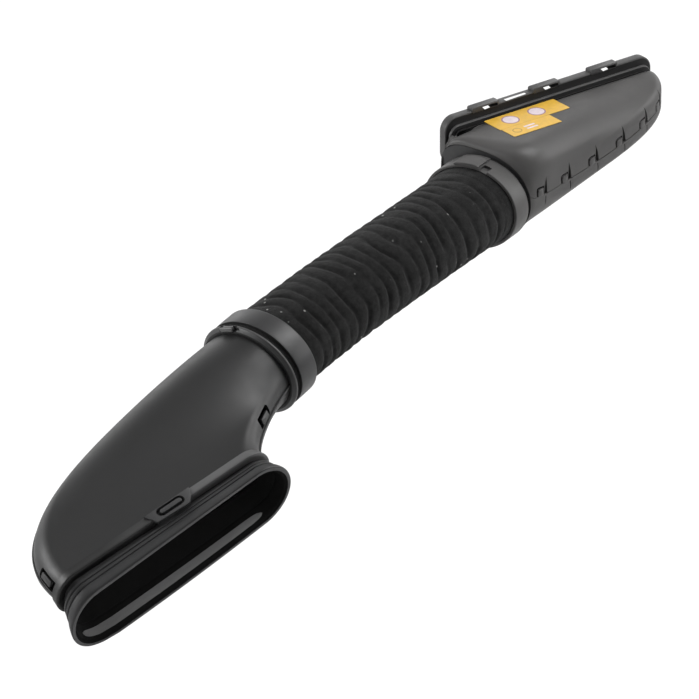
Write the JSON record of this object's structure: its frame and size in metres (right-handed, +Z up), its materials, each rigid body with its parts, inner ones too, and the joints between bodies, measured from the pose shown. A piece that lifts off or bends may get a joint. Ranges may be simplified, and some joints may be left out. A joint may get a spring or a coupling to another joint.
{
  "type": "air intake pipe",
  "caption": "Engine air intake duct: an oval side outlet with a rubber seal, a moulded elbow, a ribbed fabric hose and a flat snorkel with a long side inlet.",
  "frame": {"origin": "centre of the outlet mouth, at the front of its seal's lip", "axes": "+X along the pipe from the outlet to the inlet, +Z up, +Y towards the inlet's side"},
  "size_m": [0.8061, 0.1578, 0.2348],
  "materials": {
    "seal_rubber": "soft black moulded rubber with a satin lip",
    "carrier_plastic": "dark grey moulded plastic with a fine grain",
    "elbow_plastic": "satin black moulded plastic with a faint eroded grain",
    "collar_plastic": "black moulded plastic, slightly smoother than the elbow",
    "hose_fabric": "matt black felted fabric with pale specks of lint",
    "snorkel_plastic": "charcoal moulded plastic with a fine even grain",
    "frame_plastic": "dark charcoal moulded plastic with a fine grain",
    "label_film": "printed yellow film with plain pale discs and bars"
  },
  "bodies": {
    "root": {"outlet_seal": "seal_rubber", "seal_carrier": "carrier_plastic", "elbow_upper_shell": "elbow_plastic", "elbow_lower_shell": "elbow_plastic", "outlet_collar": "collar_plastic", "fabric_hose": "hose_fabric", "inlet_collar": "snorkel_plastic", "snorkel_upper_shell": "snorkel_plastic", "snorkel_lower_shell": "snorkel_plastic", "inlet_frame": "frame_plastic", "label_long": "label_film", "label_short": "label_film"}
  },
  "joints": []
}
